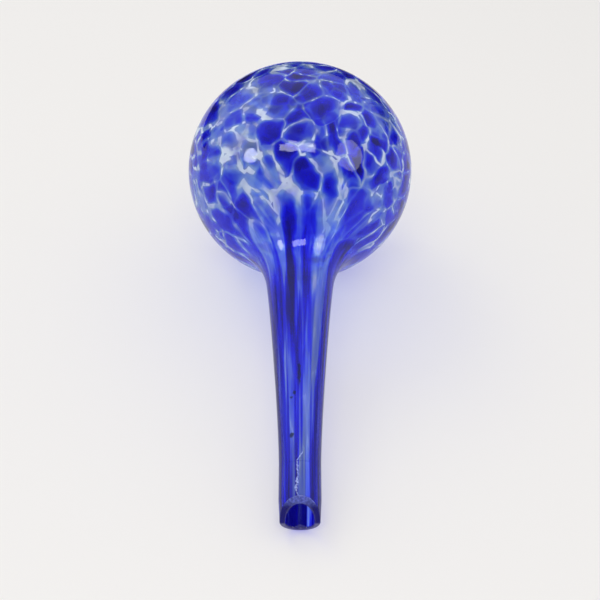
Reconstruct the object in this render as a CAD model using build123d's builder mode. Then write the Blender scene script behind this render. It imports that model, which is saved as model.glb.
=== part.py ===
from build123d import *
import os
from math import asin, cos, degrees, hypot, pi, radians, sin, tan
from random import Random

# Hand-blown watering globe, lying on a flat surface as it does when it is empty: the bulb rests
# on its belly and the stem slopes down to the rim of its open end. The clear glass is blown in
# one and hollow all through. It is kept as two solids, the bulb and the stem, that meet face to
# face at the neck. Chips of cobalt frit are fused to its outside and stand a little proud, with
# clear seams between them, and on the neck and the stem the same chips are drawn out into long
# streaks. +Z is up, the stem points to -Y, and the origin is on the surface, under the middle.

# bulb over its frit, slightly shorter along the stem than across
globe_radius = 38.0
globe_half_length = 36.1
globe_wall = 1.6

# neck, where the bulb is drawn out into the stem; places run down the stem from the bulb's centre
neck_polar = 146.2
neck_at = 45.0
neck_radius = 10.9
neck_wall = 1.7

# stem, with a straight collar before its end
tip_at = 125.0
collar_start = 109.0
collar_end = 118.4
stem_radius = 6.05
tip_radius = 5.65
bore_radius = 4.05
neck_bend_share = 0.094
collar_bend_share = 0.22

# open end: the upper half is cut back on the slant, and the rim is rounded in the flame
bevel_angle = 45.0
rim_round = 0.35

# frit chips on the bulb, in rings from the crown down to the neck
frit_rise = 0.5
frit_width = 11.0
frit_seam = 0.9
crown_polar = 6.0
crown_rings = 2
shoulder_rings = 2
belt_rings = 2
underside_rings = 2
chip_lean_share = 0.17
chip_wave_share = 0.13
chip_waves = 5
frit_seed = 11

# frit drawn out along the neck and the stem, as outlines of (place along, width) shares
streak_count = 9
streak_rise = 0.35
neck_streak_end = 60.0
stem_streak_start = 49.0
stem_streak_end = 106.0
neck_streak_shares = (0.04, 0.55), (0.2, 0.84), (0.5, 0.7), (0.8, 0.4), (1.0, 0.1)
stem_streak_shares = (0.0, 0.1), (0.22, 0.42), (0.5, 0.62), (0.8, 0.6), (1.0, 0.12)

overrun = 0.5
quarter_turn = 90.0
full_turn = 360.0
settling_rounds = 40


def resting_tilt():
    """Slope of the stem, in degrees, when the bulb and the lower rim touch one surface."""
    slope = 0
    for _ in range(settling_rounds):
        belly = hypot(globe_radius * cos(slope), globe_half_length * sin(slope))
        drop = belly - rim_round - (tip_radius - rim_round) * cos(slope)
        slope = asin(drop / (tip_at - rim_round))
    return degrees(slope)


tilt = resting_tilt()
along_y = cos(radians(tilt))
along_z = sin(radians(tilt))
globe_height = hypot(globe_radius * along_y, globe_half_length * along_z)
back_reach = hypot(globe_half_length * along_y, globe_radius * along_z)
globe_place = (tip_at * along_y - back_reach) / 2

# the globe's own frame: X across, Y up and away from the surface, Z from the bulb down the stem
globe = Plane(
    origin=(0, globe_place, globe_height),
    x_dir=(1, 0, 0),
    z_dir=(0, -along_y, -along_z),
)
side_plane = Plane(origin=globe.origin, x_dir=globe.y_dir, z_dir=globe.x_dir)
stem_axis = Axis(globe.origin, globe.z_dir)


def half_section(radius, half_length, neck, stem, tip, end):
    """Draws one side of the globe, as distance from the axis and place down the stem."""
    bulb = EllipticalCenterArc((0, 0), radius, half_length, -quarter_turn, arc_size=neck_polar)
    throat = TangentArc(bulb @ 1, (neck, neck_at), tangent=bulb % 1)
    run = collar_start - neck_at
    lead = throat @ 1 + (throat % 1) * run * neck_bend_share
    arrive = (stem, collar_start - run * collar_bend_share)
    taper = Bezier(throat @ 1, lead, arrive, (stem, collar_start))
    Polyline(taper @ 1, (stem, collar_end), (tip, end), (0, end), bulb @ 0)


# the space that the clear glass and its frit fill together, before it is hollowed
with BuildPart() as blank:
    with BuildSketch(side_plane):
        with BuildLine():
            half_section(
                globe_radius,
                globe_half_length,
                neck_radius,
                stem_radius + streak_rise,
                tip_radius,
                tip_at,
            )
        make_face()
    revolve(axis=stem_axis)

# the clear glass alone, before it is hollowed
with BuildPart() as core:
    with BuildSketch(side_plane):
        with BuildLine():
            half_section(
                globe_radius - frit_rise,
                globe_half_length - frit_rise,
                neck_radius - streak_rise,
                stem_radius,
                tip_radius,
                tip_at,
            )
        make_face()
    revolve(axis=stem_axis)

with BuildPart() as skin:
    add(blank.part)
    add(core.part, mode=Mode.SUBTRACT)

scatter = Random(frit_seed)
ring_count = crown_rings + shoulder_rings + belt_rings + underside_rings
ring_step = (neck_polar - crown_polar) / ring_count
seam_polar = degrees(frit_seam / globe_radius)
chip_reach = 2 * overrun + frit_rise + frit_width**2 / globe_radius / 2


def wavy_edge(ring, around):
    """Angle off the crown of the seam above a ring of chips: a slow wave, never a plain circle."""
    if ring == ring_count:
        return neck_polar
    polar = crown_polar + ring * ring_step
    swing = ring_step * chip_wave_share * sin(radians(polar))
    return polar + swing * sin(radians(chip_waves * around) + ring**2)


def on_bulb(polar, around):
    """Point on the bulb, from its angle off the crown and its angle around the stem's axis."""
    across = globe_radius * sin(radians(polar))
    along = -globe_half_length * cos(radians(polar))
    place = Vector(across * cos(radians(around)), across * sin(radians(around)), along)
    return globe.from_local_coords(place)


def chip(middle, corners):
    """Outline of one chip on a plane just above the bulb, all as (polar, around) pairs."""
    point = on_bulb(*middle)
    plane = Plane(origin=point, z_dir=point - globe.origin).offset(overrun)
    flat = [plane.to_local_coords(on_bulb(*corner)) for corner in corners]
    with BuildSketch(plane) as outline:
        Polygon(*[(place.X, place.Y) for place in flat], align=None)
    return outline.sketch.face()


def frit_ring(ring):
    """Outlines of one ring of chips, with leaning sides and a wavy edge above and below."""
    middle = crown_polar + (ring + 1 / 2) * ring_step
    count = round(2 * pi * globe_radius * sin(radians(middle)) / frit_width)
    step = full_turn / count
    start = scatter.uniform(0, step)
    leans = [[scatter.uniform(-1, 1) * chip_lean_share for _ in range(count)] for _ in (0, 1)]
    outlines = []
    for n in range(count):
        corners = []
        for side, lean in enumerate(leans):
            polar = crown_polar + (ring + side) * ring_step
            gap = degrees(frit_seam / 2 / (globe_radius * sin(radians(polar))))
            left = start + (n + lean[n]) * step + gap
            right = start + (n + 1 + lean[(n + 1) % count]) * step - gap
            inset = seam_polar * (1 / 2 - side)
            turns = (left, (left + right) / 2, right)
            edge = [(wavy_edge(ring + side, turn) + inset, turn) for turn in turns]
            corners += edge[::-1] if side else edge
        outlines.append(chip((middle, start + (n + 1 / 2) * step), corners))
    return outlines


chips = [frit_ring(ring) for ring in range(ring_count)]
shoulder_start = crown_rings
belt_start = shoulder_start + shoulder_rings
underside_start = belt_start + belt_rings

with BuildPart() as crown_frit_chips:
    extrude(sum(chips[:shoulder_start], []), amount=-chip_reach)
    add(skin.part, mode=Mode.INTERSECT)

with BuildPart() as shoulder_frit_chips:
    extrude(sum(chips[shoulder_start:belt_start], []), amount=-chip_reach)
    add(skin.part, mode=Mode.INTERSECT)

with BuildPart() as belt_frit_chips:
    extrude(sum(chips[belt_start:underside_start], []), amount=-chip_reach)
    add(skin.part, mode=Mode.INTERSECT)

with BuildPart() as underside_frit_chips:
    extrude(sum(chips[underside_start:], []), amount=-chip_reach)
    add(skin.part, mode=Mode.INTERSECT)


def outer_radius(place):
    """Radius of the globe's outside at a place down the stem."""
    middle = globe.from_local_coords(Vector(0, 0, place))
    hits = blank.part.find_intersection_points(Axis(middle, globe.y_dir))
    return max((point - middle).length for point, _ in hits)


def streaks(turn_share, start, end, shares):
    """Outlines of one set of drawn-out chips, each seen square to the stem."""
    step = full_turn / streak_count
    right = []
    for along_share, width_share in shares:
        place = start + (end - start) * along_share
        half_width = outer_radius(place) * tan(radians(step / 2)) * width_share
        right.append((half_width, place))
    left = [(-half_width, place) for half_width, place in right[::-1]]
    outlines = []
    for n in range(streak_count):
        turn = radians((n + turn_share) * step)
        out = globe.x_dir * cos(turn) + globe.y_dir * sin(turn)
        plane = Plane(origin=globe.origin, x_dir=globe.z_dir.cross(out), z_dir=out)
        with BuildSketch(plane.offset(bore_radius / 2)) as outline:
            Polygon(*right, *left, align=None)
        outlines.append(outline.sketch.face())
    return outlines


neck_start = -globe_half_length * cos(radians(neck_polar)) + frit_seam
neck_streaks = streaks(1 / 2, neck_start, neck_streak_end, neck_streak_shares)
stem_streaks = streaks(0, stem_streak_start, stem_streak_end, stem_streak_shares)

with BuildPart() as neck_frit_chips:
    extrude(neck_streaks, amount=globe_radius)
    add(skin.part, mode=Mode.INTERSECT)

with BuildPart() as stem_frit_streaks:
    extrude(stem_streaks, amount=globe_radius)
    add(skin.part, mode=Mode.INTERSECT)

# the clear glass: bulb, neck and stem, hollow from the crown to the open end
with BuildPart() as clear_glass:
    add(core.part)
    with BuildSketch(side_plane):
        with BuildLine():
            half_section(
                globe_radius - frit_rise - globe_wall,
                globe_half_length - frit_rise - globe_wall,
                neck_radius - streak_rise - neck_wall,
                bore_radius,
                bore_radius,
                tip_at + overrun,
            )
        make_face()
    revolve(axis=stem_axis, mode=Mode.SUBTRACT)
    side = tip_radius + overrun
    slope = 1 / tan(radians(bevel_angle))
    with BuildSketch(side_plane):
        Polygon(
            (-overrun, tip_at + overrun * slope),
            (side, tip_at - side * slope),
            (side, tip_at + overrun * slope),
            align=None,
        )
    extrude(amount=side, both=True, mode=Mode.SUBTRACT)
    rim = [e for e in edges() if globe.to_local_coords(e.center()).Z > collar_end + rim_round]
    fillet(rim, radius=rim_round)

# the bulb with its flare, and the stem, cut apart where the flare ends
neck_cut = Plane(origin=globe.from_local_coords(Vector(0, 0, neck_at)), z_dir=globe.z_dir)

with BuildPart() as clear_glass_bulb:
    add(clear_glass.part)
    split(bisect_by=neck_cut, keep=Keep.BOTTOM)

with BuildPart() as clear_glass_stem:
    add(clear_glass.part)
    split(bisect_by=neck_cut, keep=Keep.TOP)

pieces = {
    "clear_glass_bulb": clear_glass_bulb,
    "clear_glass_stem": clear_glass_stem,
    "crown_frit_chips": crown_frit_chips,
    "shoulder_frit_chips": shoulder_frit_chips,
    "belt_frit_chips": belt_frit_chips,
    "underside_frit_chips": underside_frit_chips,
    "neck_frit_chips": neck_frit_chips,
    "stem_frit_streaks": stem_frit_streaks,
}
os.makedirs("parts", exist_ok=True)
for name, piece in pieces.items():
    piece.part.label = name
    export_step(piece.part, f"parts/{name}.step")
    print(name, len(piece.part.solids()), "solids")
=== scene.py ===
# %% [markdown]
# # A hand-blown watering globe
# The real object is one piece of clear glass with chips of cobalt frit melted into its outside.
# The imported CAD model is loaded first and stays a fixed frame: it says how large everything is
# and where it sits. The glass is then modelled again, smooth and with its colour, in its place.

# %% Load the fixed frame
from math import asin, atan2, cos, hypot, pi, radians, sin

import bmesh
import bpy
import numpy as np
from mathutils import Matrix, Vector
from mathutils.geometry import interpolate_bezier


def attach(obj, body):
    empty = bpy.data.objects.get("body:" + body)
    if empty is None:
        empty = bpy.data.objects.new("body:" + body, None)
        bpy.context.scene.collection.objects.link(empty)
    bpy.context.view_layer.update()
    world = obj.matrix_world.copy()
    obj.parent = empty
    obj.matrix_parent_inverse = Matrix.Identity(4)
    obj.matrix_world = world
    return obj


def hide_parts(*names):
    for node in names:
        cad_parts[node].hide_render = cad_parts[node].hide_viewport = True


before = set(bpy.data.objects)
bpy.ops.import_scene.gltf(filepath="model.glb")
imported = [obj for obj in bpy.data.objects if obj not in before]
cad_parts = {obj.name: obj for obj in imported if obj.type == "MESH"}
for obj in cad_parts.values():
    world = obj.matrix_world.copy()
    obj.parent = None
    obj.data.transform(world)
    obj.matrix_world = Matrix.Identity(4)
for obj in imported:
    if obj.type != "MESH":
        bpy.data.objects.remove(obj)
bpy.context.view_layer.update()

scene = bpy.context.scene

# %% [markdown]
# The photograph is taken from the front and well above, with a lens of normal length. A camera
# with a fixed place comes first, so that every later look at the model is in the same frame.

# %% Set the camera
MM = 0.001
FOCAL_MM = 60
SENSOR_MM = 36
LOOK_DOWN = 42.4
CAMERA_PLACE = Vector((0, -240.5, 236.8)) * MM

camera_data = bpy.data.cameras.new("camera")
camera_data.lens = FOCAL_MM
camera_data.sensor_width = SENSOR_MM
camera_data.clip_start = 0.01
camera = bpy.data.objects.new("camera", camera_data)
camera.location = CAMERA_PLACE
camera.rotation_euler = (radians(90 - LOOK_DOWN), 0, 0)
scene.collection.objects.link(camera)
scene.camera = camera
scene.view_settings.view_transform = "Standard"
print("camera at", [round(v, 3) for v in CAMERA_PLACE])

# %% [markdown]
# A glassblower thinks of the globe as a section that is turned round one line. The sizes of that
# section are the CAD model's own: the bulb over its frit, the glass under the frit, and the
# hollow inside. All are in millimetres, and places run down the stem from the bulb's centre.

# %% Name the sizes of the section
BULB, BULB_HALF_LENGTH = 38.0, 36.1
FRIT_RISE, STREAK_RISE = 0.5, 0.35
BULB_WALL, NECK_WALL = 1.6, 1.7
NECK_POLAR = 146.2
NECK_AT, NECK = 45.0, 10.9
COLLAR_START, COLLAR_END, TIP_AT = 109.0, 118.4, 125.0
STEM, TIP, BORE = 6.05, 5.65, 4.05
LEAD_SHARE, ARRIVE_SHARE = 0.094, 0.22
RIM_ROUND = 0.35
SEAM_POLARS = (41.05, 76.1, 111.15)
STEM_ZONE_AT = 60.0
print("bulb", 2 * BULB, "mm wide; globe", BULB_HALF_LENGTH + TIP_AT, "mm long")

# %% [markdown]
# The globe lies on its belly and on the lower rim of its open end. The slope that lets both touch
# the floor is found by repeating one step until it settles, as it is in the CAD model.

# %% Find how the globe rests
slope = 0.0
for _ in range(40):
    belly = hypot(BULB * cos(slope), BULB_HALF_LENGTH * sin(slope))
    slope = asin((belly - RIM_ROUND - (TIP - RIM_ROUND) * cos(slope)) / (TIP_AT - RIM_ROUND))
belly = hypot(BULB * cos(slope), BULB_HALF_LENGTH * sin(slope))
back = hypot(BULB_HALF_LENGTH * cos(slope), BULB * sin(slope))
centre = Vector((0, (TIP_AT * cos(slope) - back) / 2, belly))
down_stem = Vector((0, -cos(slope), -sin(slope)))
upward = Vector((0, -sin(slope), cos(slope)))
rest = Matrix.Translation(centre * MM) @ Matrix((
    (MM, 0, 0, 0),
    (0, upward.y * MM, down_stem.y * MM, 0),
    (0, upward.z * MM, down_stem.z * MM, 0),
    (0, 0, 0, 1),
))
print("stem slopes by", round(slope * 180 / pi, 2), "degrees; bulb centre", centre)

# %% [markdown]
# One half of the section is a line of points: the oval of the bulb, an arc that flares into the
# neck, and a long curve that tapers into the straight collar. The same steps draw the outside,
# the face under the frit and the hollow, so their points lie side by side. Two points close
# together at each seam between pieces keep the shading smooth across it.

# %% Draw half a section
def fractions(count, close=0.02):
    """Even steps from 0 to 1, with one more step close to each end."""
    steps = [n / count for n in range(count + 1)]
    return [0.0, close / count, *steps[1:-1], 1 - close / count, 1.0]


polars = [0.0]
for low, high in zip((0.0, *SEAM_POLARS), (*SEAM_POLARS, NECK_POLAR)):
    polars += [radians(low + (high - low) * part) for part in fractions(22)[1:]]
THROAT_STEPS, TAPER_STEPS = 14, 56


def half_section(bulb, half_length, neck, stem):
    """Points (distance from the axis, 0, place down the stem) from the crown to the collar."""
    line = [Vector((bulb * sin(p), 0, -half_length * cos(p))) for p in polars]
    heading = Vector((bulb * cos(polars[-1]), 0, half_length * sin(polars[-1]))).normalized()
    side = Vector((heading.z, 0, -heading.x))
    reach = Vector((neck, 0, NECK_AT)) - line[-1]
    middle = line[-1] + side * reach.length_squared / (2 * side.dot(reach))
    spoke, last = line[-1] - middle, Vector((neck, 0, NECK_AT)) - middle
    turn = spoke.angle(last)
    for step in range(1, THROAT_STEPS + 1):
        part = turn * step / THROAT_STEPS
        line.append(middle + spoke * cos(part) + heading * spoke.length * sin(part))
    heading = (heading * cos(turn) - spoke.normalized() * sin(turn)).normalized()
    run = COLLAR_START - NECK_AT
    lead = line[-1] + heading * run * LEAD_SHARE
    arrive = Vector((stem, 0, COLLAR_START - run * ARRIVE_SHARE))
    taper = interpolate_bezier(line[-1], lead, arrive, Vector((stem, 0, COLLAR_START)), TAPER_STEPS)
    return line + taper[1:]


outside = half_section(BULB, BULB_HALF_LENGTH, NECK, STEM)
under_frit = half_section(
    BULB - FRIT_RISE, BULB_HALF_LENGTH - FRIT_RISE, NECK - STREAK_RISE, STEM
)
hollow = half_section(
    BULB - FRIT_RISE - BULB_WALL,
    BULB_HALF_LENGTH - FRIT_RISE - BULB_WALL,
    NECK - STREAK_RISE - NECK_WALL,
    BORE,
)
print(len(outside), "points; outside at the collar", outside[-1], "hollow", hollow[-1])

# %% [markdown]
# Frit is rolled onto a small gather of glass, which is then blown and drawn. On the bulb the
# chips swell evenly. From the flare on they are drawn long and narrow. Each point of the glass
# therefore remembers where it was before the drawing, as an attribute, and the colour pattern is
# laid out there. That place is the bulb itself down to the flare. From there on it is a straight
# rod, and a length of stem comes from as much of the rod as holds the same skin.

# %% Remember the place before the drawing
DRAWN_FROM = 28.0
stations = np.array([(point.z, point.x) for point in outside if point.z > 0] + [(TIP_AT, TIP)])
rod_radius = float(np.interp(DRAWN_FROM, stations[:, 0], stations[:, 1]))
steps = np.diff(stations[:, 0]) * (stations[:-1, 1] + stations[1:, 1]) / 2 / rod_radius
rod = np.concatenate(([0], np.cumsum(steps)))
rod += DRAWN_FROM - np.interp(DRAWN_FROM, stations[:, 0], rod)


def gather_place(place):
    """Where a point of the upright globe was before the drawing, in millimetres."""
    if place.z <= DRAWN_FROM:
        return place.copy()
    around = atan2(place.y, place.x)
    along = float(np.interp(place.z, stations[:, 0], rod))
    return Vector((rod_radius * cos(around), rod_radius * sin(around), along))


print("the stem comes from", round(float(rod[-1]) - DRAWN_FROM, 1), "mm of rod")

# %% [markdown]
# Every piece of the globe is turned from its section like a pot on a wheel: the section's points
# are joined by edges and spun once round the axis. The seam of the spin and the poles are then
# merged, and the normals are worked out while each piece is still a single closed skin.

# %% Turn a section into a piece
AROUND = 144


def turned(name, section, finish_of, materials, shape=None):
    """A closed piece from a closed or pole-to-pole section, riding on the globe's one body.
    Each vertex keeps its number in the section, from which finish_of picks a face's finish."""
    bm = bmesh.new()
    number = bm.verts.layers.int.new("number")
    verts = [bm.verts.new(point) for point in section]
    for count, vert in enumerate(verts):
        vert[number] = count
    edges = [bm.edges.new(pair) for pair in zip(verts, verts[1:])]
    if section[0].x > 1e-6:
        edges.append(bm.edges.new((verts[-1], verts[0])))
    bmesh.ops.spin(
        bm, geom=verts + edges, cent=(0, 0, 0), axis=(0, 0, 1), dvec=(0, 0, 0),
        angle=2 * pi, steps=AROUND, use_merge=True, use_duplicate=False,
    )
    bmesh.ops.remove_doubles(bm, verts=bm.verts, dist=1e-5)
    bmesh.ops.recalc_face_normals(bm, faces=bm.faces)
    for face in bm.faces:
        face.smooth = True
        face.material_index = finish_of([vert[number] for vert in face.verts])
    for edge in bm.edges:
        edge.smooth = edge.is_manifold and edge.calc_face_angle() < radians(40)
    if shape:
        shape(bm)
    gather = bm.verts.layers.float_vector.new("gather")
    for vert in bm.verts:
        vert[gather] = gather_place(vert.co) * MM
    bmesh.ops.transform(bm, matrix=rest, verts=bm.verts)
    mesh = bpy.data.meshes.new(name)
    bm.to_mesh(mesh)
    closed = all(edge.is_manifold for edge in bm.edges)
    volume = bm.calc_volume(signed=True) * 1e9
    bm.free()
    piece = bpy.data.objects.new(name, mesh)
    scene.collection.objects.link(piece)
    for material in materials:
        mesh.materials.append(material)
    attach(piece, "root")
    print(name, len(mesh.polygons), "faces, closed:", closed, "volume", round(volume), "mm3")
    return piece


# %% [markdown]
# Materials are small node trees. One function adds a node with its settings and its inputs, and
# another turns a colour as written on the screen into the linear light that shaders work in.

# %% Two helpers for materials
def linear(code):
    """Linear RGBA of an sRGB hex colour."""
    parts = [int(code[n:n + 2], 16) / 255 for n in (1, 3, 5)]
    return tuple(p / 12.92 if p <= 0.04045 else ((p + 0.055) / 1.055) ** 2.4 for p in parts) + (1,)


def add(tree, kind, settings=None, **inputs):
    """One node, with its settings and its inputs: a plain value, or a socket to link."""
    node = tree.nodes.new(kind)
    for key, value in (settings or {}).items():
        setattr(node, key, value)
    for key, value in inputs.items():
        socket = node.inputs[int(key[1:]) if key[1:].isdigit() else key.replace("_", " ")]
        if isinstance(value, bpy.types.NodeSocket):
            tree.links.new(value, socket)
        else:
            socket.default_value = value
    return node


# %% [markdown]
# Light should reach the floor through the glass and carry its colour along, as it does in the
# photograph, where a blue glow lies beside the bulb. Glass that bends light would only give that
# glow as slow, noisy caustics. So for rays from lamps, and for the diffuse rays that gather the
# light of the room, each glass surface is plain see-through colour.

# %% Let light shine through
def finish_glass(tree, glass, shade):
    """Links a glass shader to the output, with see-through colour for light on its way."""
    path = add(tree, "ShaderNodeLightPath")
    straight = add(tree, "ShaderNodeMath", {"operation": "MAXIMUM"},
                   _0=path.outputs["Is Shadow Ray"], _1=path.outputs["Is Diffuse Ray"])
    see = add(tree, "ShaderNodeBsdfTransparent", Color=shade)
    mix = add(
        tree, "ShaderNodeMixShader",
        Fac=straight.outputs[0], _1=glass.outputs[0], _2=see.outputs[0],
    )
    add(tree, "ShaderNodeOutputMaterial", Surface=mix.outputs[0])


# %% [markdown]
# Some finishes sit at one place of the stem, such as the scale near its open end. Every piece has
# its origin on the floor under the globe, and so have its Object coordinates. They are turned into
# the globe's own: down the stem, to the side and above its axis, each from the bulb's centre. A
# dot product with a direction gives each of the three.

# %% Measure along the stem
def new_material(name):
    """An empty node material."""
    material = bpy.data.materials.new(name)
    material.use_nodes = True
    material.node_tree.nodes.clear()
    return material


def stem_place(tree):
    """A point's place as (down the stem, to the side, above its axis), and the last by itself."""
    place = add(tree, "ShaderNodeVectorMath", {"operation": "SUBTRACT"},
                _0=add(tree, "ShaderNodeTexCoord").outputs["Object"], _1=centre * MM).outputs[0]
    down, side, above = (
        add(tree, "ShaderNodeVectorMath", {"operation": "DOT_PRODUCT"},
            _0=place, _1=way).outputs["Value"]
        for way in (down_stem, (1, 0, 0), upward))
    return add(tree, "ShaderNodeCombineXYZ", _0=down, _1=side, _2=above).outputs[0], above


# %% [markdown]
# Cobalt frit: crushed blue soda-lime glass. Cobalt lets blue through and takes red and green, so
# a thick chip is deep ink blue and a thin edge is pale. Its chips fall as they like, and no two
# are of one size. Two slow noises therefore push each place on the gather aside before the cells
# of the chips are laid out on it, so that some come out large and some small.

# %% Let the chips stray
STRAY_MM, STRAY_SIZE_MM = 13.0, 34
DRIFT_MM, DRIFT_SIZE_MM = 3.0, 6

frit = new_material("cobalt_frit_glass")
tree = frit.node_tree
gather = add(tree, "ShaderNodeAttribute", {"attribute_name": "gather"}).outputs["Vector"]
strayed = gather
for size, reach in ((STRAY_SIZE_MM, STRAY_MM), (DRIFT_SIZE_MM, DRIFT_MM)):
    noise = add(tree, "ShaderNodeTexNoise", Vector=gather, Scale=1 / (size * MM),
                Detail=1.0, Roughness=0.5).outputs["Color"]
    push = add(tree, "ShaderNodeVectorMath", {"operation": "SUBTRACT"},
               _0=noise, _1=(0.5, 0.5, 0.5)).outputs[0]
    push = add(tree, "ShaderNodeVectorMath", {"operation": "SCALE"},
               _0=push, Scale=reach * MM).outputs[0]
    strayed = add(tree, "ShaderNodeVectorMath", {"operation": "ADD"},
                  _0=strayed, _1=push).outputs[0]
print("chips stray by up to", (STRAY_MM + DRIFT_MM) / 2, "mm each way")

# %% [markdown]
# The glassblower picks up the frit by rolling the hot gather over a tray of it, and it never
# sticks evenly. A short table says where more or less of it stuck: a place in millimetres, how
# far the spot reaches, and how much more there is. Noise thins the frit a little elsewhere.

# %% Say where more frit stuck
SPARSE_MM = 12
SPOTS = (
    ((-14, 29, 20), 12, -0.5), ((14, 28, 21), 7, -0.4), ((-4, 23, 30), 6, -0.25),
    ((-24, 20, 14), 8, -0.3), ((22, 25, 18), 9, 0.7), ((16, 34, 6), 9, 0.7),
    ((-25, 11, 26), 9, 0.5), ((28, 5, 26), 13, 0.7), ((27, 17, 11), 11, 0.8),
    ((0, 8, -35), 18, 1.2), ((29, 16, -19), 12, 0.8), ((-27, 18, -20), 9, 0.7),
    ((-2, 24, 36), 8, 0.8), ((-2, 24, 44), 8, 0.5), ((-20, 13, 36), 6, -0.6),
    ((10, 22, 32), 5, -0.7), ((9, 22, 38), 5, -0.7), ((9, 22, 44), 5, -0.5),
)
extra = 0.0
for place, reach, amount in SPOTS:
    away = add(tree, "ShaderNodeVectorMath", {"operation": "DISTANCE"},
               _0=strayed, _1=Vector(place) * MM).outputs["Value"]
    extra = add(tree, "ShaderNodeMath", {"operation": "ADD"}, _0=extra, _1=add(
        tree, "ShaderNodeMapRange", {"interpolation_type": "SMOOTHSTEP"}, Value=away,
        From_Min=reach * 1.3 * MM, From_Max=reach * 0.4 * MM, To_Min=0.0, To_Max=amount,
    ).outputs[0]).outputs[0]
sparse = add(tree, "ShaderNodeTexNoise", Vector=gather, Scale=1 / (SPARSE_MM * MM),
             Detail=1.0).outputs[0]
sparse = add(tree, "ShaderNodeMapRange", Value=sparse, From_Min=0.55, From_Max=0.72,
             To_Min=0.0, To_Max=0.12).outputs[0]
barer = add(tree, "ShaderNodeMapRange", Value=extra, From_Min=0.0, From_Max=-0.5,
            To_Min=0.0, To_Max=0.07).outputs[0]
sparse = add(tree, "ShaderNodeMath", {"operation": "ADD"}, _0=sparse, _1=barer).outputs[0]
print(len(SPOTS), "places are richer or barer")

# %% [markdown]
# Chips of two sizes lie over each other, so there are two layers of Voronoi cells. The distance
# to the nearest chip is taken from the distance to the second nearest, because that difference is
# smallest at a seam and stays small where three chips meet, which gives the seams their starry
# corners. Each chip stops short of its cell's edge by its own amount, so some lie close together
# and others leave a clear gap. From its edge a chip gets deeper along a short profile.

# %% Lay out the chips
# each layer: the size of its cells and how far it is shifted in mm, and its share of the depth
LAYERS = ((8.0, 0.0, 0.95), (5.5, 57.0, 0.35))
SHORT = 0.1
PROFILE = ((0.0, 0), (0.05, 0.2), (0.16, 0.58), (0.45, 1))
fill, swell = None, None
for cell, shift, share in LAYERS:
    place = add(tree, "ShaderNodeVectorMath", {"operation": "ADD"},
                _0=strayed, _1=(shift * MM,) * 3).outputs[0]
    nearest = add(tree, "ShaderNodeTexVoronoi", {"feature": "F1"},
                  Vector=place, Scale=1 / (cell * MM))
    second = add(tree, "ShaderNodeTexVoronoi", {"feature": "F2"},
                 Vector=place, Scale=1 / (cell * MM))
    chance = add(tree, "ShaderNodeSeparateColor", Color=nearest.outputs["Color"])
    short = add(tree, "ShaderNodeMapRange", Value=chance.outputs[1],
                From_Min=0.3, To_Min=0.0, To_Max=SHORT).outputs[0]
    short = add(tree, "ShaderNodeMath", {"operation": "ADD"}, _0=short, _1=sparse).outputs[0]
    inward = add(tree, "ShaderNodeMath", {"operation": "SUBTRACT"},
                 _0=second.outputs["Distance"], _1=nearest.outputs["Distance"]).outputs[0]
    inward = add(tree, "ShaderNodeMath", {"operation": "SUBTRACT"}, _0=inward, _1=short).outputs[0]
    profile = add(tree, "ShaderNodeValToRGB", Fac=inward)
    ramp = profile.color_ramp
    for spot, _ in PROFILE[1:-1]:
        ramp.elements.new(spot)
    for element, (spot, grey) in zip(ramp.elements, PROFILE):
        element.position, element.color = spot, (grey, grey, grey, 1)
    depth = add(tree, "ShaderNodeMapRange", Value=chance.outputs[0],
                To_Min=0.3 * share, To_Max=share).outputs[0]
    chip = add(tree, "ShaderNodeMath", {"operation": "MULTIPLY"},
               _0=profile.outputs[0], _1=depth).outputs[0]
    hump = add(tree, "ShaderNodeMapRange", {"interpolation_type": "SMOOTHERSTEP"}, Value=inward,
               From_Min=0.0, From_Max=PROFILE[-1][0], To_Min=0.0, To_Max=share).outputs[0]
    if fill is None:
        fill, swell = chip, hump
    else:
        fill = add(tree, "ShaderNodeMath", {"operation": "ADD"}, _0=fill, _1=chip).outputs[0]
        swell = add(tree, "ShaderNodeMath", {"operation": "ADD"}, _0=swell, _1=hump).outputs[0]
chips = fill
print("chips are about", [cell for cell, _, _ in LAYERS], "mm across on the bulb")

# %% [markdown]
# Whole patches of the globe are paler, where the frit was rolled on thinly, so slow noise scales
# the depth of the chips. Along the neck and the stem the colour is drawn out into threads, which
# are noise that is stretched along the rod. The last stretch of the stem is made deeper blue, most
# of all on its underside: that is painted shade, for the stem's contact shadow on the floor seen
# through the glass.

# %% Find how deep the blue is
CLOUD_MM = 21
STREAK_MM, STREAK_LONGER = 6.5, 3
BLEND_MM, LAST_MM = 12, 8
cloud = add(tree, "ShaderNodeTexNoise", Vector=gather, Scale=1 / (CLOUD_MM * MM),
            Detail=2.0, Roughness=0.55).outputs[0]
cloud = add(tree, "ShaderNodeMapRange", Value=cloud, From_Min=0.4, From_Max=0.6,
            To_Min=0.75, To_Max=1.7).outputs[0]

squeezed = add(tree, "ShaderNodeVectorMath", {"operation": "MULTIPLY"},
               _0=gather, _1=(1, 1, 1 / STREAK_LONGER)).outputs[0]
threads = add(tree, "ShaderNodeTexNoise", Vector=squeezed, Scale=1 / (STREAK_MM * MM),
              Detail=2.0, Roughness=0.55).outputs[0]
threads = add(tree, "ShaderNodeMapRange", Value=threads, From_Min=0.4, From_Max=0.62,
              To_Min=0.18, To_Max=1.6).outputs[0]
along = add(tree, "ShaderNodeSeparateXYZ", Vector=gather).outputs[2]
drawn = add(tree, "ShaderNodeMapRange", {"interpolation_type": "SMOOTHSTEP"}, Value=along,
            From_Min=DRAWN_FROM * MM, From_Max=(DRAWN_FROM + BLEND_MM) * MM,
            To_Min=0.0, To_Max=0.8).outputs[0]
rod_end = float(rod[-1])
# painted shade: the last stretch, and most of all its underside, is made deeper blue for the stem's
# contact shadow seen through the glass
last = add(tree, "ShaderNodeMapRange", {"interpolation_type": "SMOOTHSTEP"}, Value=along,
           From_Min=(rod_end - LAST_MM) * MM, From_Max=(rod_end - LAST_MM / 4) * MM,
           To_Min=0.0, To_Max=1.0).outputs[0]
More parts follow.
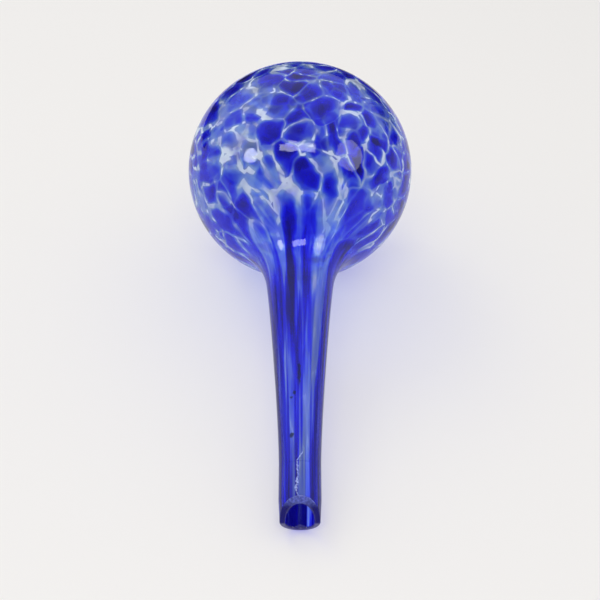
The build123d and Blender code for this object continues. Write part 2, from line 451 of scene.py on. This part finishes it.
painted_underside_shade = add(tree, "ShaderNodeSeparateXYZ", Vector=gather).outputs[1]
painted_underside_shade = add(tree, "ShaderNodeMapRange", {"interpolation_type": "SMOOTHSTEP"}, Value=painted_underside_shade,
            From_Min=6 * MM, From_Max=-8 * MM, To_Min=0.1, To_Max=0.9).outputs[0]
last = add(tree, "ShaderNodeMath", {"operation": "MULTIPLY_ADD"},
           _0=last, _1=painted_underside_shade, _2=1.0).outputs[0]

fill = add(tree, "ShaderNodeMath", {"operation": "MULTIPLY"}, _0=fill, _1=cloud).outputs[0]
fill = add(tree, "ShaderNodeMix", {"data_type": "FLOAT"}, _0=drawn, _2=fill, _3=threads).outputs[0]
# more frit at the listed spots, plus the painted shade of the last stretch
richer = add(tree, "ShaderNodeMath", {"operation": "ADD"}, _0=last, _1=extra).outputs[0]
fill = add(tree, "ShaderNodeMath", {"operation": "MULTIPLY"}, _0=fill, _1=richer).outputs[0]
print("the last", LAST_MM, "mm of", round(rod_end, 1), "mm of rod are the deepest")

# %% [markdown]
# Light that crosses the blue layer on a slant has more of it to cross, so the rims of the globe
# and the edges of the stem are darker and more violet. Layer Weight gives that slant.

# %% Deepen the blue where it is crossed on a slant
SLANT_MORE = 1.0
THICKEST = 1.85
facing = add(tree, "ShaderNodeLayerWeight", Blend=0.5).outputs["Facing"]
slant = add(tree, "ShaderNodeMath", {"operation": "POWER"}, _0=facing, _1=2.0).outputs[0]
more = add(tree, "ShaderNodeMath", {"operation": "MULTIPLY_ADD"},
           _0=slant, _1=SLANT_MORE / THICKEST, _2=1 / THICKEST).outputs[0]
fill = add(tree, "ShaderNodeMath", {"operation": "MULTIPLY"}, _0=fill, _1=more).outputs[0]

# the tint of one wall, against how thick the blue is as a share of the thickest
tint = add(tree, "ShaderNodeValToRGB", Fac=fill)
ramp = tint.color_ramp
STOPS = ((0.0, "#E2EEFF"), (0.06, "#B4D0FF"), (0.14, "#8CAEFF"), (0.25, "#5872FF"),
         (0.38, "#323CFF"), (0.52, "#1C18EA"), (0.75, "#120CB2"), (1.0, "#0E0880"))
for place, _ in STOPS[1:-1]:
    ramp.elements.new(place)
for element, (place, code) in zip(ramp.elements, STOPS):
    element.position, element.color = place, linear(code)
tint = tint.outputs[0]
through = add(tree, "ShaderNodeMix", {"data_type": "RGBA", "blend_type": "MULTIPLY"},
              _0=1.0, _6=tint, _7=tint).outputs[2]
print("the tint has", len(STOPS), "stops")

# %% [markdown]
# The chips are melted in, but each still swells a little, so the surface dips at the seams. Frit
# is full of tiny bubbles, which scatter some light back in the chip's own colour. In the gaps
# between the chips they are thickest, and there they look milky white. A mix of clear glass with
# a matt shader of the same tint gives both.

# %% Finish the cobalt frit glass
SWELL_MM = 0.025
OPAL = 0.27
GAP_MILK = 0.8
PATCHY_MM = 7
CHIP_FROM = 0.08
bump = add(tree, "ShaderNodeBump", Height=swell, Distance=SWELL_MM * MM, Strength=1.0).outputs[0]
frit_glass = add(tree, "ShaderNodeBsdfPrincipled", Base_Color=through, Roughness=0.0,
                 IOR=1.5, Transmission_Weight=1.0, Normal=bump)
patchy = add(tree, "ShaderNodeTexNoise", Vector=gather, Scale=1 / (PATCHY_MM * MM),
             Detail=2.0).outputs[0]
milkiest = add(tree, "ShaderNodeMapRange", Value=patchy, From_Min=0.35, From_Max=0.6,
               To_Min=OPAL, To_Max=GAP_MILK).outputs[0]
# the gaps close up where the glass was drawn out
milkiest = add(tree, "ShaderNodeMix", {"data_type": "FLOAT"},
               _0=drawn, _2=milkiest, _3=OPAL).outputs[0]
milk = add(tree, "ShaderNodeMapRange", {"interpolation_type": "SMOOTHSTEP"}, Value=chips,
           From_Min=0.0, From_Max=CHIP_FROM, To_Min=milkiest, To_Max=OPAL).outputs[0]
bubbles = add(tree, "ShaderNodeBsdfDiffuse", Color=tint)
frit_surface = add(tree, "ShaderNodeMixShader",
                   Fac=milk, _1=frit_glass.outputs[0], _2=bubbles.outputs[0])
print("chips swell by", SWELL_MM, "mm")

# %% [markdown]
# Light that meets the outer face from within at a flat angle can't leave. It crosses the blue
# again and again on its way round, which is why the rims of the stem and the bulb are a dark
# violet. The shader tints light only where it passes a face, so that loss is mixed in by hand, on
# the inner side of the face and where Layer Weight says that the angle is flat.

# %% Darken the light that is kept in
KEPT_IN = 0.65
inside = add(tree, "ShaderNodeNewGeometry").outputs["Backfacing"]
kept_in = add(tree, "ShaderNodeMapRange", Value=facing, From_Min=0.24, From_Max=0.34,
              To_Min=0.0, To_Max=KEPT_IN).outputs[0]
kept_in = add(tree, "ShaderNodeMath", {"operation": "MULTIPLY"}, _0=kept_in, _1=inside).outputs[0]
violet = add(tree, "ShaderNodeBsdfDiffuse", Color=linear("#1E1EA0"))
frit_surface = add(tree, "ShaderNodeMixShader",
                   Fac=kept_in, _1=frit_surface.outputs[0], _2=violet.outputs[0])
print("up to", KEPT_IN, "of the light at the rims turns violet")

# %% [markdown]
# A few specks of ash from the furnace were caught in the stem. Each is an oval, made ragged by
# noise: its place down the stem and to the side, and half its length and width, in millimetres.

# %% Catch ash in the stem
SPECKS = ((82, -0.2, 4.0, 0.5), (88, -1.6, 0.7, 0.45),
          (89.5, -2.5, 0.4, 0.3), (101, -2.3, 0.9, 0.7))
RAGGED_MM, RAGGED_SIZE_MM = 1.2, 1.1
seen_from, above = stem_place(tree)
ragged = add(tree, "ShaderNodeTexNoise", Vector=seen_from, Scale=1 / (RAGGED_SIZE_MM * MM),
             Detail=1.0).outputs["Color"]
ragged = add(tree, "ShaderNodeVectorMath", {"operation": "MULTIPLY_ADD"}, _0=ragged,
             _1=(RAGGED_MM * MM,) * 3, _2=(-RAGGED_MM / 2 * MM,) * 3).outputs[0]
seen_from = add(tree, "ShaderNodeVectorMath", {"operation": "ADD"},
                _0=seen_from, _1=ragged).outputs[0]
ash = 0.0
for at, side, long, wide in SPECKS:
    scaled = add(tree, "ShaderNodeVectorMath", {"operation": "MULTIPLY"},
                 _0=seen_from, _1=(1 / (long * MM), 1 / (wide * MM), 0)).outputs[0]
    away = add(tree, "ShaderNodeVectorMath", {"operation": "DISTANCE"},
               _0=scaled, _1=(at / long, side / wide, 0)).outputs["Value"]
    ash = add(tree, "ShaderNodeMath", {"operation": "MAXIMUM"}, _0=ash, _1=add(
        tree, "ShaderNodeMapRange", Value=away,
        From_Min=1.1, From_Max=0.7, To_Min=0.0, To_Max=0.85).outputs[0]).outputs[0]
upper = add(tree, "ShaderNodeMath", {"operation": "GREATER_THAN"}, _0=above, _1=0.0).outputs[0]
ash = add(tree, "ShaderNodeMath", {"operation": "MULTIPLY"}, _0=ash, _1=upper).outputs[0]
char = add(tree, "ShaderNodeBsdfDiffuse", Color=linear("#2C3246"))
frit_surface = add(tree, "ShaderNodeMixShader",
                   Fac=ash, _1=frit_surface.outputs[0], _2=char.outputs[0])
print(len(SPECKS), "specks")

# %% [markdown]
# A thin, wandering pale line runs on top of the stem near the open end. A colour ramp holds its
# course: how far to the side the line is, against how far down the stem. The same ragged place as
# for the ash gives it small kinks, and noise breaks it up into flakes.

# %% Draw a thin pale line on the stem
PALE_LINE_COURSE = ((105.5, 1.1), (107.0, 0.2), (109.0, -0.9), (112.5, -0.5), (116.0, -0.9),
           (117.5, -0.9), (119.5, -0.6))
SIDEWAYS_MM = 2
LINE_MM, FLAKE_MM = 0.3, 0.7
at_stem = add(tree, "ShaderNodeSeparateXYZ", Vector=seen_from)
run = add(tree, "ShaderNodeMapRange", Value=at_stem.outputs[0],
          From_Min=PALE_LINE_COURSE[0][0] * MM, From_Max=PALE_LINE_COURSE[-1][0] * MM).outputs[0]
course = add(tree, "ShaderNodeValToRGB", Fac=run)
ramp = course.color_ramp
for _ in PALE_LINE_COURSE[1:-1]:
    ramp.elements.new(0.5)
for element, (at, side) in zip(ramp.elements, PALE_LINE_COURSE):
    grey = (side + SIDEWAYS_MM) / (2 * SIDEWAYS_MM)
    element.position = (at - PALE_LINE_COURSE[0][0]) / (PALE_LINE_COURSE[-1][0] - PALE_LINE_COURSE[0][0])
    element.color = (grey, grey, grey, 1)
course = add(tree, "ShaderNodeMapRange", Value=course.outputs[0],
             To_Min=-SIDEWAYS_MM * MM, To_Max=SIDEWAYS_MM * MM).outputs[0]
off = add(tree, "ShaderNodeMath", {"operation": "SUBTRACT"},
          _0=at_stem.outputs[1], _1=course).outputs[0]
off = add(tree, "ShaderNodeMath", {"operation": "ABSOLUTE"}, _0=off).outputs[0]
# the mask of the pale line: narrow, broken into flakes, only on top of the stem
scale = add(tree, "ShaderNodeMapRange", Value=off, From_Min=LINE_MM * MM,
            From_Max=LINE_MM * MM / 3, To_Min=0.0, To_Max=1.0).outputs[0]
flakes = add(tree, "ShaderNodeTexNoise", Vector=seen_from, Scale=1 / (FLAKE_MM * MM),
             Detail=2.0).outputs[0]
flakes = add(tree, "ShaderNodeMapRange", Value=flakes, From_Min=0.4, From_Max=0.6,
             To_Min=0.2, To_Max=0.8).outputs[0]
ends = add(tree, "ShaderNodeMapRange", Value=run, From_Min=0.0, From_Max=0.1,
           To_Min=0.0, To_Max=1.0).outputs[0]
for part in (flakes, ends, upper):
    scale = add(tree, "ShaderNodeMath", {"operation": "MULTIPLY"}, _0=scale, _1=part).outputs[0]
# the pale line is a matt pale blue
lime = add(tree, "ShaderNodeBsdfDiffuse", Color=linear("#B4C4FA"))
frit_surface = add(tree, "ShaderNodeMixShader",
                   Fac=scale, _1=frit_surface.outputs[0], _2=lime.outputs[0])

# bent light spreads and blends, so what reaches the floor is paler than one straight path
SPREAD = 0.63
paler = add(tree, "ShaderNodeMix", {"data_type": "RGBA"},
            _0=SPREAD, _6=tint, _7=(1, 1, 1, 1)).outputs[2]
finish_glass(tree, frit_surface, paler)
print("the pale_line is", PALE_LINE_COURSE[-1][0] - PALE_LINE_COURSE[0][0], "mm long")

# %% [markdown]
# The clear glass under the frit is plain soda-lime glass, which shows only by its highlights and
# by how it bends what is behind it. It was blown by hand, so its inner face is faintly wavy. Where
# frit and clear glass are fused there is no surface at all for light, so the two touching faces
# bend nothing.

# %% Finish the clear glass and the fused joint
WAVE_MM, WAVE_SIZE_MM = 0.12, 14
clear = new_material("soda_lime_glass")
tree = clear.node_tree
where, _ = stem_place(tree)
waves = add(tree, "ShaderNodeTexNoise", Vector=where, Scale=1 / (WAVE_SIZE_MM * MM),
            Detail=1.0).outputs[0]
bump = add(tree, "ShaderNodeBump", Height=waves, Distance=WAVE_MM * MM, Strength=1.0).outputs[0]
clear_glass = add(tree, "ShaderNodeBsdfPrincipled", Base_Color=linear("#F6F9FF"),
                  Roughness=0.0, IOR=1.5, Transmission_Weight=1.0, Normal=bump)

finish_glass(tree, clear_glass, (1, 1, 1, 1))

fused = new_material("fused_joint")
tree = fused.node_tree
joint = add(tree, "ShaderNodeBsdfPrincipled", Base_Color=(1, 1, 1, 1),
            Roughness=0.0, IOR=1.0, Transmission_Weight=1.0)
finish_glass(tree, joint, (1, 1, 1, 1))
print("the inner face waves by", WAVE_MM, "mm")

# %% [markdown]
# The open end was cut on a slant and ground. The cut face shows the wall end on, through its whole
# depth of colour, so it is nearly black blue and a little less smooth. Dried scale clings to its
# top, where the last drop hangs.

# %% Finish the cut face
cut = new_material("cut_cobalt_glass")
tree = cut.node_tree
where, above = stem_place(tree)
cut_glass = add(tree, "ShaderNodeBsdfPrincipled", Base_Color=linear("#2C2880"),
                Roughness=0.08, IOR=1.5, Transmission_Weight=0.5)
flakes = add(tree, "ShaderNodeTexNoise", Vector=where, Scale=1 / (FLAKE_MM * MM),
             Detail=2.0).outputs[0]
flakes = add(tree, "ShaderNodeMapRange", Value=flakes, From_Min=0.35, From_Max=0.65,
             To_Min=0.3, To_Max=0.8).outputs[0]
top = add(tree, "ShaderNodeMapRange", {"interpolation_type": "SMOOTHSTEP"}, Value=above,
          From_Min=3.2 * MM, From_Max=5.2 * MM, To_Min=0.0, To_Max=1.0).outputs[0]
scale = add(tree, "ShaderNodeMath", {"operation": "MULTIPLY"}, _0=flakes, _1=top).outputs[0]
lime = add(tree, "ShaderNodeBsdfDiffuse", Color=linear("#7886E4"))
cut_surface = add(tree, "ShaderNodeMixShader",
                  Fac=scale, _1=cut_glass.outputs[0], _2=lime.outputs[0])
finish_glass(tree, cut_surface, linear("#8C8CFF"))
print("materials so far", [m.name for m in (frit, clear, fused, cut)])

# %% [markdown]
# The skin of frit is one layer on the real globe. It is modelled as six rings, one for each node
# of the CAD model that it stands for. Each is a thin closed ring between the outside and the
# glass under it, and its coloured face is the outer one.

# %% Turn the six rings of frit
FRIT_FACE, FUSED_FACE, CLEAR_FACE, CUT_FACE = 0, 1, 2, 3


def seam_index(polar):
    return min(range(len(polars)), key=lambda n: abs(polars[n] - radians(polar)))


neck_index = len(polars) - 1
stem_index = min(range(len(outside)), key=lambda n: abs(outside[n].z - STEM_ZONE_AT))
zone_ends = [0, *(seam_index(p) for p in SEAM_POLARS), neck_index, stem_index, len(outside) - 1]
zone_names = {
    "crown_frit": "crown_frit_chips",
    "shoulder_frit": "shoulder_frit_chips",
    "belt_frit": "belt_frit_chips",
    "underside_frit": "underside_frit_chips",
    "neck_frit": "neck_frit_chips",
    "stem_frit": "stem_frit_streaks",
}


for (name, node), start, end in zip(zone_names.items(), zone_ends, zone_ends[1:]):
    top = outside[start:end + 1]
    under = under_frit[start:end + 1]
    section = top + under[::-1]
    if end == len(outside) - 1:
        section = top + under[-2::-1]

    def ring_finish(numbers, tops=len(top)):
        return FRIT_FACE if max(numbers) < tops else FUSED_FACE

    ring = turned(name, section, ring_finish, [frit, fused])
    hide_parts(node)

# %% [markdown]
# The clear body is the rest of the wall: from the face under the frit, down over the bare collar,
# round the flame-softened rim and back up the bore to the crown. The upper half of the open end
# is cut back on the slant. That is made by sliding the last points of the stem back by their own
# height over the axis, which keeps the rounded rim all the way round.

# %% Turn the clear body
COLLAR_STEPS, RIM_STEPS, END_STEPS = 9, 5, 4
SLIDE_FROM = 109.5


def collar_radius(place):
    return float(np.interp(place, (COLLAR_START, COLLAR_END, TIP_AT), (STEM, STEM, TIP)))


collar = [COLLAR_START + (COLLAR_END - COLLAR_START) * n / COLLAR_STEPS
          for n in range(1, COLLAR_STEPS + 1)]
collar += [COLLAR_END + (TIP_AT - RIM_ROUND - COLLAR_END) * n / COLLAR_STEPS
           for n in range(1, COLLAR_STEPS + 1)]
bare = [Vector((collar_radius(place), 0, place)) for place in collar]
rim_turns = [pi / 2 * n / RIM_STEPS for n in range(RIM_STEPS + 1)]
outer_turn = Vector((TIP - RIM_ROUND, 0, TIP_AT - RIM_ROUND))
inner_turn = Vector((BORE + RIM_ROUND, 0, TIP_AT - RIM_ROUND))
outer_rim = [outer_turn + Vector((cos(a), 0, sin(a))) * RIM_ROUND for a in rim_turns[1:]]
face_line = [Vector((TIP - RIM_ROUND + (BORE - TIP + 2 * RIM_ROUND) * n / END_STEPS, 0, TIP_AT))
             for n in range(1, END_STEPS)]
inner_rim = [inner_turn + Vector((-sin(a), 0, cos(a))) * RIM_ROUND for a in rim_turns]
bore = [Vector((BORE, 0, place)) for place in collar[:-1][::-1]]
wall = under_frit + bare + outer_rim + face_line + inner_rim + bore + hollow[::-1]
bare_end = len(under_frit) + len(bare)
cut_end = bare_end + len(outer_rim) + len(face_line) + RIM_STEPS


def wall_finish(numbers):
    if max(numbers) < len(under_frit):
        return FUSED_FACE
    if max(numbers) < bare_end:
        return FRIT_FACE
    return CUT_FACE if max(numbers) <= cut_end else CLEAR_FACE


def cut_back(bm):
    """Slides the top of the open end back on a slant of 45 degrees."""
    for vert in bm.verts:
        height, place = vert.co.y, vert.co.z
        if place <= SLIDE_FROM or height <= 0:
            continue
        slid = place - height * (place - SLIDE_FROM) / (TIP_AT - SLIDE_FROM)
        if hypot(*vert.co.xy) > BORE + RIM_ROUND / 2:
            swell = collar_radius(slid) / collar_radius(place)
            vert.co.x *= swell
            vert.co.y *= swell
        vert.co.z = slid


body = turned("clear_glass", wall, wall_finish, [frit, fused, clear, cut], cut_back)
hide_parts("clear_glass_bulb", "clear_glass_stem")

# %% [markdown]
# The globe lies on a plain white surface that fills the picture. It is matt, so it shows the soft
# shadow and the blue light that falls through the glass.

# %% Lay the floor
floor_mesh = bpy.data.meshes.new("floor")
bm = bmesh.new()
bmesh.ops.create_grid(bm, x_segments=1, y_segments=1, size=3.0)
bm.to_mesh(floor_mesh)
bm.free()
floor = bpy.data.objects.new("floor", floor_mesh)
scene.collection.objects.link(floor)
paper = new_material("matt_white_paper")
tree = paper.node_tree
sheet = add(tree, "ShaderNodeBsdfPrincipled", Base_Color=linear("#F1EFED"), Roughness=0.9)
sheet.inputs["Specular IOR Level"].default_value = 0.1
add(tree, "ShaderNodeOutputMaterial", Surface=sheet.outputs[0])
floor_mesh.materials.append(paper)
print("floor laid")

# %% [markdown]
# The light is that of a small product studio: a pale room that is brightest overhead and behind
# and darker behind the camera, so that little of it is mirrored in the side of the glass that the
# camera sees. The direction of a ray, which is what Generated gives in a world, says how high and
# how far back it goes.

# %% Light the room
SKY_LOW, SKY_HIGH = 0.6, 1.04
FRONT_SHARE = 0.3
world = bpy.data.worlds.new("studio")
world.use_nodes = True
tree = world.node_tree
tree.nodes.clear()
ray = add(tree, "ShaderNodeTexCoord").outputs["Generated"]
height = add(tree, "ShaderNodeSeparateXYZ", Vector=ray).outputs[2]
glow = add(tree, "ShaderNodeMapRange", {"interpolation_type": "SMOOTHSTEP"}, Value=height,
           From_Min=-0.02, From_Max=0.7, To_Min=SKY_LOW, To_Max=SKY_HIGH).outputs[0]
back = add(tree, "ShaderNodeSeparateXYZ", Vector=ray).outputs[1]
back = add(tree, "ShaderNodeMapRange", {"interpolation_type": "SMOOTHSTEP"}, Value=back,
           From_Min=-0.8, From_Max=0.4, To_Min=FRONT_SHARE, To_Max=1.0).outputs[0]
glow = add(tree, "ShaderNodeMath", {"operation": "MULTIPLY"}, _0=glow, _1=back).outputs[0]
sky = add(tree, "ShaderNodeBackground", Color=(1, 1, 1, 1), Strength=glow)
add(tree, "ShaderNodeOutputWorld", Surface=sky.outputs[0])
scene.world = world
print("the room is", SKY_HIGH, "overhead and", SKY_LOW * FRONT_SHARE, "low in front")

# %% [markdown]
# A large soft window behind and to the left throws the shadow forward and to the right. A long
# softbox overhead gives the bright streak on the bulb. Two round lamps in front, left and right,
# give the two soft discs. They are there only for mirrored and bent rays, so that they don't wash
# out the shadow.

# %% Set up the lamps
LAMP_AWAY = 1.3


def lamp(name, towards, shape, wide, tall, power):
    """An area lamp that faces the globe, LAMP_AWAY metres from it in a direction."""
    data = bpy.data.lights.new(name, "AREA")
    data.shape = shape
    data.size, data.size_y = wide, tall
    data.energy = power
    lit = bpy.data.objects.new(name, data)
    lit.location = centre * MM + Vector(towards).normalized() * LAMP_AWAY
    lit.rotation_euler = Vector(towards).to_track_quat("Z", "Y").to_euler()
    scene.collection.objects.link(lit)
    return lit


window = lamp("window", (-0.5, 0.6, 0.85), "SQUARE", 0.5, 0.5, 2.2)
window.visible_glossy = False
lamp("top_softbox", (-0.05, -0.568, 0.822), "RECTANGLE", 0.8, 0.2, 4.2)
right_lamp = lamp("right_lamp", (0.754, -0.407, 0.516), "DISK", 0.66, 0.66, 4.0)
left_lamp = lamp("left_lamp", (-0.745, -0.41, 0.52), "DISK", 0.32, 0.32, 3.2)
right_lamp.visible_diffuse = left_lamp.visible_diffuse = False

# %% [markdown]
# Photographers stand dark cards beside glass, just outside the picture, because its rims bend
# light in from there and would vanish against a white ground. One dark card stands behind the
# globe. It throws no shadow, and only the glass sees it. Last, light is given enough bounces to
# come through both walls of the bulb.

# %% Stand a dark card behind the globe
CARD_BEHIND, CARD_WIDE, CARD_TALL = 0.275, 0.9, 0.13
card_mesh = bpy.data.meshes.new("dark_card")
bm = bmesh.new()
bmesh.ops.create_grid(bm, x_segments=1, y_segments=1, size=0.5)
bmesh.ops.scale(bm, vec=(CARD_WIDE, CARD_TALL, 1), verts=bm.verts)
bmesh.ops.rotate(bm, cent=(0, 0, 0), matrix=Matrix.Rotation(pi / 2, 3, "X"), verts=bm.verts)
bmesh.ops.translate(bm, vec=(0, CARD_BEHIND, CARD_TALL / 2), verts=bm.verts)
bm.to_mesh(card_mesh)
bm.free()
card = bpy.data.objects.new("dark_card", card_mesh)
scene.collection.objects.link(card)
velvet = new_material("black_card")
tree = velvet.node_tree
dull = add(tree, "ShaderNodeBsdfDiffuse", Color=linear("#5A5864"))
add(tree, "ShaderNodeOutputMaterial", Surface=dull.outputs[0])
card_mesh.materials.append(velvet)
card.visible_camera = card.visible_diffuse = card.visible_shadow = False
BOUNCES = 24
scene.cycles.transmission_bounces = scene.cycles.max_bounces = BOUNCES
scene.cycles.caustics_refractive = False
scene.cycles.caustics_reflective = False
print("card", CARD_WIDE, "by", CARD_TALL, "m;", BOUNCES, "bounces")
